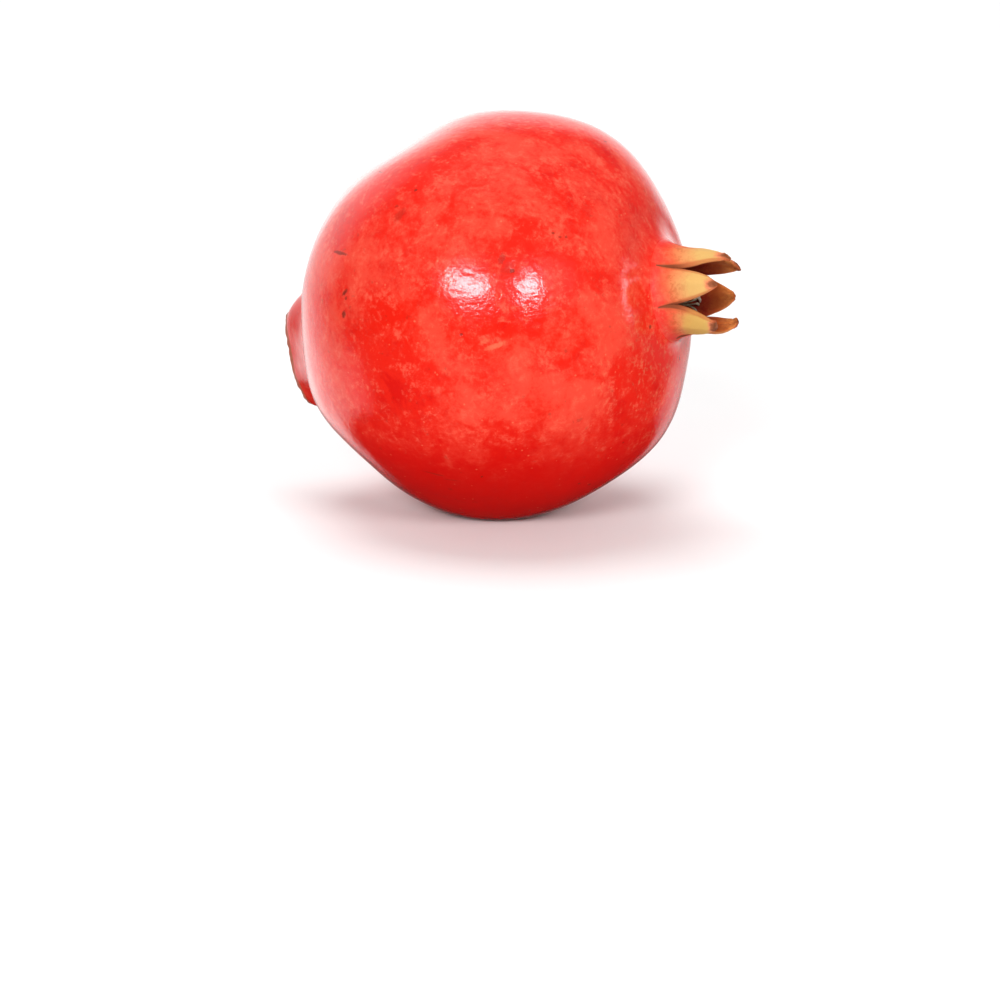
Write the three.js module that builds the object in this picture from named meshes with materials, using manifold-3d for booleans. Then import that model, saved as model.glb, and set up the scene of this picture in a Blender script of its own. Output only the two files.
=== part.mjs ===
// A whole pomegranate lying on its side, in millimetres, +Z up.
// +X points toward the crown, -Y is the front, and the origin is the middle
// of the flat spot that the fruit rests on.
import * as THREE from 'three';
import Module from 'manifold-3d';

const wasm = await Module();
wasm.setup();

// ---- Driving dimensions, mm and degrees -------------------------------------
const BODY_R = 46.0;               // mean radius of the round body
const BODY_CENTRE = [0, 2.7, 45.2];
const BODY_TILT = 13.5;            // the stalk-to-crown axis climbs toward the crown
const CROWN_DROP = 6.0;            // how much the crown end is flattened
const STALK_DROP = 1.6;            // how much the stalk end is flattened
const RIBS = 6;                    // soft segments felt through the rind
const RIB_HEIGHT = 0.55;
// Broad hills (+) and hollows (-) of the rind: degrees from the stalk end,
// degrees round the axis (0 front, 90 top), spread in degrees, height in mm.
const HILLS = [
  [128, 118, 22, 2.75],            // shoulder above the crown
  [147, 150, 20, -0.4],
  [74, 88, 16, -1.85],             // dip in the top, toward the stalk
  [90, 97, 16, 0.5],
  [32, 48, 20, -0.65],
  [30, 335, 14, 0.75],
  [42, 307, 14, -0.75],            // underside, from the stalk to the crown
  [76, 284, 16, 0.5],
  [112, 267, 16, -0.55],
  [132, 254, 18, 1.4],
  [147, 235, 16, -1.2],
  [84, 190, 24, 0.9],              // the back
  [112, 225, 18, -0.8],
  [58, 160, 18, -0.7],
  [128, 170, 18, 0.8],
];

const NECK_START = 24;             // degrees from the crown end where the rind turns up
const NECK_LEAVE = 8.5;            // how strongly the neck follows the body, then the tube
const NECK_ARRIVE = 6;
const CROWN_R = 11.0;              // outer radius of the tube where the lobes part
const CROWN_FLARE = 0.45;          // how much it still widens toward the body there
const CROWN_FROM_CENTRE = [42.7, 0, 9.3];
const CROWN_TILT = 10;             // tilt of the ring where the lobes part
const NOTCHES = [-9.5, 42, 109, 168, 238, 286]; // angles round the crown between the lobes
const NOTCH_GAP = 0.06;            // share of its width that a lobe loses beside the notch
const TUBE_WALL = 2.9;             // wall where the lobes part
const LOBE_TIP_WALL = 1.0;
const LOBE_TIP_BEND = 8.5;         // a lobe's cross-section bends on this radius at its tip
const CUP_DEPTH = 8.0;             // floor of the cup below the notches
const CUP_FLOOR_R = 5.6;
const CUP_ROUNDING = 1.6;          // above 1, the cup stays wide at first
// One row per lobe, from the front upward: how far its tip stands out of the
// ring, the tip's radius and angle round the crown, how far it curls in, how full
// its sides are, and half the width of its tip.
const LOBES = [
  { out: 13.2, r: 8.5, angle: 27.5, curl: 0.20, full: 2.9, tipHalf: 0.3 },
  { out: 14.3, r: 9.2, angle: 79, curl: 0.12, full: 2.4, tipHalf: 0.5 },
  { out: 14.4, r: 7.5, angle: 134, curl: 0.18, full: 3.2, tipHalf: 0.5 },
  { out: 12.9, r: 6.8, angle: 194, curl: 0.22, full: 2.1, tipHalf: 0.12 },
  { out: 14.6, r: 7.9, angle: 240, curl: 0.35, full: 2.8, tipHalf: 0.9 },
  { out: 12.9, r: 8.4, angle: 315, curl: 0.30, full: 2.8, tipHalf: 1.4 },
];

const KNOB_TILT = 15.4;            // the stalk knob points a little lower than the body
const KNOB_FACE = 50.4;            // end of the knob, from the body's centre
const KNOB_HALF_WIDTH = 9.3;       // its end is a rounded square, taller than wide
const KNOB_HALF_HEIGHT = 12.2;
const KNOB_SHOULDER = 1.2;         // swell of its upper side
const KNOB_FOOT = 22;              // degrees from the stalk end where the knob starts
const KNOB_EDGE = 0.8;             // its rounded edge
const KNOB_HOLLOW = 0.5;           // dip of its end toward the socket
const SOCKET_R = 3.0;              // hollow that holds the stump of the stalk
const SOCKET_DEPTH = 2.4;
const GAP = 0.3;                   // clearance between separate pieces

const STAMEN_DISC_R = 4.7;
const STAMEN_DISC_H = 1.2;
const FILAMENTS = 34;
const FILAMENT_R = 0.34;
const FILAMENT_LONG = 13.4;
const FILAMENT_SHORT = 7.2;
const LONG_SIDE = 212;             // the long ones stand round this angle, and lean out more
const GOLDEN_ANGLE = 137.5;        // spreads the filaments evenly

const COLUMNS = 72;
const PER_LOBE = COLUMNS / LOBES.length;

// ---- Directions ---------------------------------------------------------------
const deg = Math.PI / 180;
const v = (x, y, z) => new THREE.Vector3(x, y, z);
const along = (tilt) => v(Math.cos(tilt * deg), 0, Math.sin(tilt * deg));
const across = (tilt) => v(-Math.sin(tilt * deg), 0, Math.cos(tilt * deg));
const FRONT = v(0, -1, 0);
const CENTRE = v(...BODY_CENTRE);
const RING = CENTRE.clone().add(v(...CROWN_FROM_CENTRE));

// A unit vector at an angle round an axis with the given tilt.
function spoke(angle, tilt) {
  return FRONT.clone().multiplyScalar(Math.cos(angle * deg))
    .addScaledVector(across(tilt), Math.sin(angle * deg));
}

// A smooth curve from p0 to p1 that leaves along d0 and arrives along d1.
function blend(p0, d0, p1, d1, t) {
  const q = t * t, c = q * t;
  return p0.clone().multiplyScalar(2 * c - 3 * q + 1).addScaledVector(d0, c - 2 * q + t)
    .addScaledVector(p1, 3 * q - 2 * c).addScaledVector(d1, c - q);
}

// ---- Body ---------------------------------------------------------------------
// Direction from the body's centre: a degrees from the stalk end, phi round it.
function bodyDirection(a, phi) {
  return along(BODY_TILT).multiplyScalar(-Math.cos(a * deg))
    .addScaledVector(spoke(phi, BODY_TILT), Math.sin(a * deg));
}

function bodyRadius(a, phi) {
  const here = bodyDirection(a, phi);
  const rib = RIB_HEIGHT * Math.sin(a * deg) ** 2 * Math.cos(RIBS * (phi - 100) * deg);
  let r = BODY_R + rib;
  r -= CROWN_DROP * Math.exp(-(((180 - a) / 20) ** 2));
  r -= STALK_DROP * Math.exp(-((a / 26) ** 2));
  for (const [ha, hphi, spread, height] of HILLS) {
    const apart = here.angleTo(bodyDirection(ha, hphi)) / deg;
    r += height * Math.exp(-((apart / spread) ** 2));
  }
  return r;
}

// A point of the rind, pressed flat where it would go below the table.
function bodyPoint(a, phi) {
  const p = bodyDirection(a, phi).multiplyScalar(bodyRadius(a, phi)).add(CENTRE);
  p.z = Math.max(p.z, 0);
  return p;
}

function bodySlope(a, phi) {
  return bodyPoint(a + 1, phi).sub(bodyPoint(a - 1, phi)).normalize();
}

// ---- Rows of points, each going once round the fruit -----------------------------
const nextNotch = (i) => (i + 1 < LOBES.length ? NOTCHES[i + 1] : NOTCHES[0] + 360);
const ANGLES = Array.from({ length: COLUMNS }, (_, j) => {
  const i = Math.floor(j / PER_LOBE);
  return NOTCHES[i] + (nextNotch(i) - NOTCHES[i]) * ((j % PER_LOBE) / PER_LOBE);
});
const row = (place) => ANGLES.map(place);

// Folds that run down the side of the stalk knob.
function knobFold(phi) {
  const off = ((((phi - 325) % 360) + 540) % 360) - 180;
  const deep = Math.exp(-((off / 16) ** 2));
  return 0.45 * Math.cos(5 * (phi + 20) * deg) + 0.25 * Math.cos(3 * phi * deg) - 0.9 * deep;
}

function knobRim(phi) {
  const c = Math.abs(Math.cos((phi - 5) * deg)) / KNOB_HALF_WIDTH;
  const s = Math.abs(Math.sin((phi - 5) * deg)) / KNOB_HALF_HEIGHT;
  return (c ** 3 + s ** 3) ** (-1 / 3) + 0.6 * knobFold(phi);
}

function knobPoint(radius, height, phi) {
  return CENTRE.clone().addScaledVector(along(KNOB_TILT), -height)
    .addScaledVector(spoke(phi, KNOB_TILT), radius);
}

function stalkRows() {
  const face = [
    [0, KNOB_FACE - KNOB_HOLLOW - SOCKET_DEPTH], [0, KNOB_FACE - KNOB_HOLLOW],
    [0.48, KNOB_FACE - 0.9], [0.74, KNOB_FACE - KNOB_HOLLOW], [0.91, KNOB_FACE],
  ];
  const rows = face.map(([share, h]) =>
    row((phi) => knobPoint(SOCKET_R + share * (knobRim(phi) - SOCKET_R), h, phi)));
  for (const t of [0, 0.25, 0.5, 0.75]) {
    rows.push(row((phi) => {
      const rim = knobPoint(knobRim(phi), KNOB_FACE - KNOB_EDGE, phi);
      const leave = along(KNOB_TILT).multiplyScalar(6).addScaledVector(spoke(phi, KNOB_TILT), 4);
      const foot = bodyPoint(KNOB_FOOT, phi);
      const p = blend(rim, leave, foot, bodySlope(KNOB_FOOT, phi).multiplyScalar(7), t);
      const swell = 1.6 * knobFold(phi) + 4 * KNOB_SHOULDER * Math.max(0, Math.sin(phi * deg)) ** 2;
      return p.addScaledVector(spoke(phi, KNOB_TILT), t * (1 - t) * swell);
    }));
  }
  return rows;
}

function bodyRows() {
  const last = 180 - NECK_START, steps = 24;
  return Array.from({ length: steps + 1 }, (_, k) => KNOB_FOOT + (last - KNOB_FOOT) * (k / steps))
    .map((a) => row((phi) => bodyPoint(a, phi)));
}

// The way the rind runs where it meets the lobes, still closing in on the axis.
function crownSlope(footSpoke) {
  return along(CROWN_TILT).addScaledVector(footSpoke, -CROWN_FLARE);
}

// The rind turns up into the crown's tube.
function neckRows() {
  return [0.2, 0.4, 0.6, 0.8].map((t) => row((phi) => {
    const a = 180 - NECK_START;
    const outward = spoke(phi, CROWN_TILT);
    const top = RING.clone().addScaledVector(outward, CROWN_R);
    return blend(bodyPoint(a, phi), bodySlope(a, phi).multiplyScalar(NECK_LEAVE),
      top, crownSlope(outward).multiplyScalar(NECK_ARRIVE), t);
  }));
}

// ---- Crown ----------------------------------------------------------------------
const smooth = (t) => t * t * (3 - 2 * t);

// How far a lobe reaches round the crown to each side, in radians: all the way
// to the notch at its foot (t = 0), and to the edge of its tip (t = 1).
function lobeSpread(i, t) {
  const foot = ((nextNotch(i) - NOTCHES[i]) / 2) * deg;
  const tip = LOBES[i].tipHalf / LOBE_TIP_BEND;
  const gap = 1 - NOTCH_GAP * (1 - (1 - t) ** 6);
  return tip + (foot - tip) * (1 - t ** LOBES[i].full) * gap;
}

function lobeWall(s, t) {
  return (LOBE_TIP_WALL + (TUBE_WALL - LOBE_TIP_WALL) * (1 - t) ** 1.3) * (1 - 0.3 * s * s);
}

// Outer and inner point of lobe i, at s across it (-1 to 1) and t along it.
function lobePoint(i, s, t) {
  const lobe = LOBES[i];
  const footSpoke = spoke((NOTCHES[i] + nextNotch(i)) / 2, CROWN_TILT);
  const tipSpoke = spoke(lobe.angle, 0);
  const foot = RING.clone().addScaledVector(footSpoke, CROWN_R);
  const tip = RING.clone().add(v(lobe.out, 0, 0)).addScaledVector(tipSpoke, lobe.r);
  const reach = tip.clone().sub(foot);
  const length = reach.length();
  const leave = crownSlope(footSpoke).multiplyScalar(length);
  const arrive = reach.normalize().addScaledVector(tipSpoke, -lobe.curl * 2).normalize()
    .multiplyScalar(length);
  const middle = (u) => blend(foot, leave, tip, arrive, u);
  const tangent = t === 0 ? crownSlope(footSpoke).normalize()
    : middle(Math.min(t + 0.01, 1)).sub(middle(t - 0.01)).normalize();
  // The section lies in the ring's plane at the foot and square to the lobe later.
  const out = footSpoke.clone().lerp(tipSpoke, smooth(t));
  const square = smooth(Math.min(t / 0.3, 1));
  out.addScaledVector(tangent, -square * out.dot(tangent)).normalize();
  const side = out.clone().cross(tangent).normalize();
  // It closes in at first as fast as the tube does, so the rind runs on smoothly.
  const closing = (CROWN_FLARE * length) / (CROWN_R - LOBE_TIP_BEND);
  const bend = LOBE_TIP_BEND + (CROWN_R - LOBE_TIP_BEND) * (1 - t) ** closing;
  const turn = s * lobeSpread(i, t);
  const outer = middle(t).addScaledVector(side, bend * Math.sin(turn))
    .addScaledVector(out, -bend * (1 - Math.cos(turn)));
  const normal = out.multiplyScalar(Math.cos(turn)).addScaledVector(side, Math.sin(turn));
  return { outer, inner: outer.clone().addScaledVector(normal, -lobeWall(s, t)) };
}

const LOBE_STEPS = [0, 0.14, 0.28, 0.42, 0.56, 0.69, 0.8, 0.89, 0.96, 1];
const acrossLobe = (c) => (2 * c) / PER_LOBE - 1;

// The wall of the cup, from the notches down to its flat floor.
function cupRows() {
  const axis = along(CROWN_TILT);
  return [0.25, 0.5, 0.75, 1].map((k) => ANGLES.map((phi, j) => {
    const s = acrossLobe(j % PER_LOBE);
    const top = CROWN_R - lobeWall(s, 0);
    const r = top + (CUP_FLOOR_R - top) * k ** CUP_ROUNDING;
    return RING.clone().addScaledVector(axis, -CUP_DEPTH * k)
      .addScaledVector(spoke(phi, CROWN_TILT), r);
  }));
}

// ---- Closed meshes ----------------------------------------------------------------
class Shell {
  constructor() { this.points = []; this.faces = []; }
  add(p) { this.points.push(p); return this.points.length - 1; }
  addRow(points) { return points.map((p) => this.add(p)); }
  quad(a, b, c, d) { this.faces.push([a, b, c], [a, c, d]); }
  // Joins two rows of vertices; a closed pair goes all the way round.
  join(first, second, closed) {
    const n = closed ? first.length : first.length - 1;
    for (let c = 0; c < n; c++) {
      const d = (c + 1) % first.length;
      this.quad(first[c], second[c], second[d], first[d]);
    }
  }
  solid() {
    const mesh = new wasm.Mesh({
      numProp: 3,
      vertProperties: new Float32Array(this.points.flatMap((p) => [p.x, p.y, p.z])),
      triVerts: new Uint32Array(this.faces.flat()),
    });
    return new wasm.Manifold(mesh);
  }
}

function fruitSolid() {
  const shell = new Shell();
  const rows = [...stalkRows(), ...bodyRows(), ...neckRows()].map((r) => shell.addRow(r));
  const notchOuter = shell.addRow(ANGLES.map((_, j) =>
    lobePoint(Math.floor(j / PER_LOBE), acrossLobe(j % PER_LOBE), 0).outer));
  const notchInner = shell.addRow(ANGLES.map((_, j) =>
    lobePoint(Math.floor(j / PER_LOBE), acrossLobe(j % PER_LOBE), 0).inner));
  rows.push(notchOuter);
  rows.slice(1).forEach((r, k) => shell.join(rows[k], r, true));
  const stalkPole = shell.add(knobPoint(0, KNOB_FACE - KNOB_HOLLOW - SOCKET_DEPTH, 0));
  rows[0].forEach((p, c) => shell.faces.push([stalkPole, p, rows[0][(c + 1) % COLUMNS]]));
  LOBES.forEach((_, i) => addLobe(shell, i, notchOuter, notchInner));
  const cup = [notchInner, ...cupRows().map((r) => shell.addRow(r))];
  cup.slice(1).forEach((r, k) => shell.join(cup[k], r, true));
  const floor = cup[cup.length - 1];
  const cupPole = shell.add(RING.clone().addScaledVector(along(CROWN_TILT), -CUP_DEPTH));
  floor.forEach((p, c) => shell.faces.push([p, cupPole, floor[(c + 1) % COLUMNS]]));
  return shell.solid();
}

function addLobe(shell, i, notchOuter, notchInner) {
  const columns = Array.from({ length: PER_LOBE + 1 }, (_, c) => c);
  const foot = columns.map((c) => (i * PER_LOBE + c) % COLUMNS);
  const outer = [foot.map((j) => notchOuter[j])];
  const inner = [foot.map((j) => notchInner[j])];
  for (const t of LOBE_STEPS.slice(1)) {
    const points = columns.map((c) => lobePoint(i, acrossLobe(c), t));
    outer.push(shell.addRow(points.map((p) => p.outer)));
    inner.push(shell.addRow(points.map((p) => p.inner)));
  }
  for (let k = 0; k + 1 < outer.length; k++) {
    shell.join(outer[k], outer[k + 1], false);
    shell.join(inner[k + 1], inner[k], false);
    const [o, p, q, r] = [outer[k], outer[k + 1], inner[k + 1], inner[k]];
    shell.quad(o[0], r[0], q[0], p[0]);
    shell.quad(o[PER_LOBE], p[PER_LOBE], q[PER_LOBE], r[PER_LOBE]);
  }
  shell.join(outer[outer.length - 1], inner[inner.length - 1], false);
}

// A closed tube through some points, with a radius at each.
function tube(points, radii, sides) {
  const shell = new Shell();
  const rings = points.map((p, k) => {
    const next = points[Math.min(k + 1, points.length - 1)];
    const last = points[Math.max(k - 1, 0)];
    const axis = next.clone().sub(last).normalize();
    const side = Math.abs(axis.z) < 0.9 ? v(0, 0, 1) : v(0, 1, 0);
    const e = side.clone().cross(axis).normalize();
    const g = axis.clone().cross(e);
    return shell.addRow(Array.from({ length: sides }, (_, c) => {
      const turn = (-2 * Math.PI * c) / sides;
      return p.clone().addScaledVector(e, radii[k] * Math.cos(turn))
        .addScaledVector(g, radii[k] * Math.sin(turn));
    }));
  });
  rings.slice(1).forEach((r, k) => shell.join(rings[k], r, true));
  const start = shell.add(points[0].clone());
  const end = shell.add(points[points.length - 1].clone());
  const last = rings[rings.length - 1];
  rings[0].forEach((p, c) => {
    const d = (c + 1) % sides;
    shell.faces.push([start, p, rings[0][d]], [last[c], end, last[d]]);
  });
  return shell.solid();
}

// ---- Dried stamens in the cup --------------------------------------------------------
function crownPoint(height, radius, angle) {
  return RING.clone().addScaledVector(along(CROWN_TILT), height)
    .addScaledVector(spoke(angle, CROWN_TILT), radius);
}

// One filament with an anther at its end; n picks its place in the tuft.
function filament(n) {
  const angle = n * GOLDEN_ANGLE;
  const foot = 1.7 + 2.5 * Math.sqrt((n + 0.5) / FILAMENTS);
  const long = n > 0.4 * FILAMENTS && Math.cos((angle - LONG_SIDE) * deg) > 0.55;
  const length = (long ? FILAMENT_LONG : FILAMENT_SHORT) + 1.7 * Math.sin(n * 2.4);
  const lean = (long ? 2.0 : 0.5) + 0.5 * Math.sin(n * 1.7);
  const floor = -CUP_DEPTH + GAP + 0.3;
  const at = (t) => crownPoint(floor + length * t, foot + lean * Math.sin(2.6 * t),
    angle + 26 * t * t * Math.sin(n * 3.1));
  const steps = [0, 0.35, 0.65, 0.86, 0.92, 1];
  const radii = [1.1, 1, 1, 1, 1.9, 1.5].map((k) => k * FILAMENT_R);
  return tube(steps.map(at), radii, 4);
}

function stamensSolid() {
  const floor = -CUP_DEPTH + GAP;
  const disc = tube([0, STAMEN_DISC_H * 0.7, STAMEN_DISC_H].map((h) => crownPoint(floor + h, 0, 0)),
    [STAMEN_DISC_R, STAMEN_DISC_R, STAMEN_DISC_R - 0.6], 24);
  const style = tube([0.3, 3, 5.6, 7.2, 7.9].map((h) => crownPoint(floor + h, 0.12 * h, 200)),
    [1.1, 0.6, 0.45, 0.75, 0.5], 8);
  let tuft = disc.add(style);
  for (let n = 0; n < FILAMENTS; n++) tuft = tuft.add(filament(n));
  return tuft;
}

// ---- Stump of the stalk, in its socket ------------------------------------------------
function stumpSolid() {
  const floor = KNOB_FACE - KNOB_HOLLOW - SOCKET_DEPTH + GAP;
  const heights = [0, 1.2, 2.1, 2.9, 3.1];
  const radii = [SOCKET_R - GAP, SOCKET_R - GAP, 2.6, 2.5, 2.1];
  return tube(heights.map((h) => knobPoint(0, floor + h, 0)), radii, 24);
}

// ---- Nodes ----------------------------------------------------------------------------
function asMesh(name, solid, colour, roughness) {
  const mesh = solid.getMesh();
  const geometry = new THREE.BufferGeometry();
  geometry.setAttribute('position', new THREE.BufferAttribute(mesh.vertProperties, 3));
  geometry.setIndex(new THREE.BufferAttribute(mesh.triVerts, 1));
  geometry.computeVertexNormals();
  const material = new THREE.MeshStandardMaterial({ color: colour, roughness, metalness: 0 });
  const node = new THREE.Mesh(geometry, material);
  node.name = name;
  return node;
}

const group = new THREE.Group();
group.name = 'pomegranate';
group.add(asMesh('fruit', fruitSolid(), 0xd8322a, 0.35));
group.add(asMesh('stamens', stamensSolid(), 0xb59a6e, 0.9));
group.add(asMesh('stem_stub', stumpSolid(), 0x6b4a30, 0.9));

export default group;
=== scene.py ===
# %% [markdown]
# # Dressing a whole pomegranate
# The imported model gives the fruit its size, its place on the table and three
# solids: the fruit, the dried stamens in its crown and the stump of its stalk.
# They are correct but coarse. Smoothing them would round off the crown's points, so
# each is drawn again from the same driving dimensions, with many more faces, and
# then each piece gets its finish.

import math
import bpy
import numpy as np
from mathutils import Matrix, Vector, noise


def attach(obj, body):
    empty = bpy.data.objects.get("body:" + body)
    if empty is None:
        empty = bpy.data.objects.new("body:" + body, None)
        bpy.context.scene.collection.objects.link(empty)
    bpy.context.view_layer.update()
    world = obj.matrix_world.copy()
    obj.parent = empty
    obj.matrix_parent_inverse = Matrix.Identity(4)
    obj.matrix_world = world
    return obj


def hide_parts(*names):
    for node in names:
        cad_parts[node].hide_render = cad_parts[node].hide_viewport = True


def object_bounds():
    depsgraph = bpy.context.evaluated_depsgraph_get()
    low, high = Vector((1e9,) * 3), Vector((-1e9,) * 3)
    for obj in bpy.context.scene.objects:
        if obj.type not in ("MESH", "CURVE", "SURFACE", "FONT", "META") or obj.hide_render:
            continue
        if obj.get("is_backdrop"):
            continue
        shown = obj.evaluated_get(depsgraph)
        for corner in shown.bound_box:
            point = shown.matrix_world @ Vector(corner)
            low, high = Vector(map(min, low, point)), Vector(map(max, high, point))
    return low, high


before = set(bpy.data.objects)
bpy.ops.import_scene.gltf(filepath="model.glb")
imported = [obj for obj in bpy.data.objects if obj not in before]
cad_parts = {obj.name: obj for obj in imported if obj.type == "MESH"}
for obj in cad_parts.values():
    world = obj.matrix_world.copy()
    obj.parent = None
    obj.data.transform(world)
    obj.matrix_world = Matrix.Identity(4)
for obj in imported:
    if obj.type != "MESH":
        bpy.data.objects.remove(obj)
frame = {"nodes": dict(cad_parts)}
CAD_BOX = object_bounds()
mm = 0.001
print("Nodes to dress:", ", ".join(frame["nodes"]))
print("CAD box, mm:", [[round(float(v) / mm, 1) for v in corner] for corner in CAD_BOX])

# %% [markdown]
# ## Driving dimensions
# These are the fruit's own dimensions, the same ones that its solids were drawn
# from. The fine surfaces could be fitted to the solids by measuring them, but named
# sizes put them in the same place and can be read. Angles are in degrees. An angle
# round the fruit is 0 at the front and 90 at the top.

# %% Dimensions of the body, the crown and the stalk knob
BODY_R = 46.0 * mm
BODY_CENTRE = np.array([0, 2.7, 45.2]) * mm
BODY_TILT = 13.5
CROWN_DROP = 6.0 * mm
STALK_DROP = 1.6 * mm
RIBS = 6
RIB_HEIGHT = 0.55 * mm
# Hills and hollows: degrees from the stalk, degrees round, spread, height in mm.
HILLS = [
    (128, 118, 22, 2.75), (147, 150, 20, -0.4), (74, 88, 16, -1.85), (90, 97, 16, 0.5),
    (32, 48, 20, -0.65), (30, 335, 14, 0.75), (42, 307, 14, -0.75), (76, 284, 16, 0.5),
    (112, 267, 16, -0.55), (132, 254, 18, 1.4), (147, 235, 16, -1.2), (84, 190, 24, 0.9),
    (112, 225, 18, -0.8), (58, 160, 18, -0.7), (128, 170, 18, 0.8),
]
NECK_START = 24
NECK_LEAVE = 8.5 * mm
NECK_ARRIVE = 6 * mm
CROWN_R = 11.0 * mm
CROWN_FLARE = 0.45
RING = BODY_CENTRE + np.array([42.7, 0, 9.3]) * mm
CROWN_TILT = 10
NOTCHES = [-9.5, 42, 109, 168, 238, 286]
NOTCH_GAP = 0.06
TUBE_WALL = 2.9 * mm
TIP_WALL = 1.0 * mm
TIP_BEND = 8.5 * mm
CUP_DEPTH = 8.0 * mm
CUP_FLOOR_R = 5.6 * mm
CUP_ROUNDING = 1.6
# Each lobe's tip: how far out, radius, angle round, how curled, how full its
# sides, and half its width.
LOBES = [
    (13.2, 8.5, 27.5, 0.20, 2.9, 0.3), (14.3, 9.2, 79, 0.12, 2.4, 0.5), (14.4, 7.5, 134, 0.18, 3.2, 0.5),
    (12.9, 6.8, 194, 0.22, 2.1, 0.12), (14.6, 7.9, 240, 0.35, 2.8, 0.9), (12.9, 8.4, 315, 0.30, 2.8, 1.4),
]
KNOB_TILT = 15.4
KNOB_FACE = 50.4 * mm
KNOB_HALF_WIDTH = 9.3 * mm
KNOB_HALF_HEIGHT = 12.2 * mm
KNOB_SHOULDER = 1.2 * mm
KNOB_FOOT = 22
KNOB_EDGE = 0.8 * mm
KNOB_HOLLOW = 0.5 * mm
SOCKET_R = 3.0 * mm
SOCKET_DEPTH = 2.4 * mm
GAP = 0.3 * mm

# %% How finely the fruit is drawn
PER_LOBE = 48
COLUMNS = PER_LOBE * len(LOBES)
BODY_ROWS = 150
NEXT_NOTCH = NOTCHES[1:] + [NOTCHES[0] + 360]
ANGLES = np.concatenate([np.linspace(here, there, PER_LOBE, endpoint=False)
                         for here, there in zip(NOTCHES, NEXT_NOTCH)])
print(COLUMNS, "columns of", round(2 * math.pi * BODY_R / mm / COLUMNS, 2), "mm at the widest")

# %% [markdown]
# ## Directions
# The body leans up toward the crown, the crown leans a little less and the knob a
# little more, so each has an axis of its own. A spoke is a unit vector square to
# such an axis, and a smooth curve between two points joins one form to the next.
# Blender's own curves could do that, but plain arrays hold all the rows at once.

# %% Axes, spokes and blends
FRONT = np.array([0.0, -1.0, 0.0])


def axis(tilt):
    return np.array([math.cos(math.radians(tilt)), 0, math.sin(math.radians(tilt))])


def spoke(angle, tilt):
    rise = np.array([-math.sin(math.radians(tilt)), 0, math.cos(math.radians(tilt))])
    turn = np.radians(angle)[..., None]
    return np.cos(turn) * FRONT + np.sin(turn) * rise


def unit(vectors):
    return vectors / np.linalg.norm(vectors, axis=-1, keepdims=True)


def cosine(degrees):
    return np.cos(np.radians(degrees))


def hump(off, width):
    """1 in the middle, about a third at one width from it, and soon nothing."""
    return np.exp(-((off / width) ** 2))


def blend(p0, d0, p1, d1, t):
    """A curve from p0 to p1 that leaves along d0 and arrives along d1."""
    q, c = t * t, t * t * t
    return ((2 * c - 3 * q + 1) * p0 + (c - 2 * q + t) * d0
            + (3 * q - 2 * c) * p1 + (c - q) * d1)


def blend_slope(p0, d0, p1, d1, t):
    q = t * t
    return 6 * (q - t) * (p0 - p1) + (3 * q - 4 * t + 1) * d0 + (3 * q - 2 * t) * d1


# %% [markdown]
# ## The body
# A pomegranate is nearly a ball. Six soft ribs run from end to end, where the seed
# chambers press on the rind, and broad hills and hollows make this one fruit
# differ from the next. It could be sculpted, but a polar formula, which gives a
# radius for each direction, also tells every other piece where the skin is.

# %% The rind's radius in any direction
def body_direction(a, phi):
    a = np.radians(a)[..., None]
    return -np.cos(a) * axis(BODY_TILT) + np.sin(a) * spoke(phi, BODY_TILT)


def body_radius(a, phi):
    here = body_direction(a, phi)
    rib = np.sin(np.radians(a)) ** 2 * cosine(RIBS * (phi - 100))
    r = BODY_R + RIB_HEIGHT * rib
    r = r - CROWN_DROP * hump(180 - a, 20)
    r = r - STALK_DROP * hump(a, 26)
    for hill_a, hill_phi, spread, height in HILLS:
        hill = body_direction(hill_a, hill_phi)
        apart = np.degrees(np.arccos(np.clip(here @ hill, -1, 1)))
        r = r + height * mm * hump(apart, spread)
    return r


def body_point(a, phi):
    return BODY_CENTRE + body_direction(a, phi) * body_radius(a, phi)[..., None]


def body_slope(a, phi):
    return unit(body_point(a + 1, phi) - body_point(a - 1, phi))


radii = body_radius(np.full(4, 90), np.array([0, 90, 180, 270]))
print("Front, top, back and bottom, mm from the centre:", (radii / mm).round(1))


# %% [markdown]
# ## Relief that the solids leave out
# Real rind isn't a perfect formula. Value noise moves its points by up to a tenth
# of a millimetre, in waves as wide as a thumb and in dimples as wide as a seed.
# Scars and pits are hollows at named places on the rind. A Displace modifier could
# do the waves, but here one function moves the points for waves and pits alike.

# %% Waves, dimples and pits
def waves(points, size, seed):
    """Smooth noise from -1 to 1 at each point, in waves about as wide as size."""
    spots = points.reshape(-1, 3) / size + seed
    values = np.array([noise.noise(Vector(p)) for p in spots])
    return values.reshape(points.shape[:-1])


# Pits: degrees from the stalk, degrees round, radius and depth in mm.
PITS = [(116.7, 23.6, 2.4, 0.08), (119.4, 21.2, 1.4, 0.08), (68.4, 21.5, 1.3, 0.12),
        (66.9, 15.8, 1.2, 0.12), (109.5, 0.2, 2.2, 0.04), (87.6, 40.5, 2.6, 0.08)]


def rind_relief(points):
    lift = 0.07 * waves(points, 15 * mm, 3.1) + 0.035 * waves(points, 5.5 * mm, 8.7)
    lift = lift + 0.015 * waves(points, 2.3 * mm, 5.9)
    for a, phi, radius, depth in PITS:
        pit = body_point(a, phi)
        apart = np.linalg.norm(points - pit, axis=-1)
        lift = lift - depth * hump(apart, radius * mm)
    return lift * mm


def pressed(points):
    """The fruit's lowest part is pressed flat where it lies."""
    points[..., 2] = np.maximum(points[..., 2], 0)
    return points


print("The relief has", len(PITS), "pits, up to", max(pit[3] for pit in PITS), "mm deep")


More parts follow.
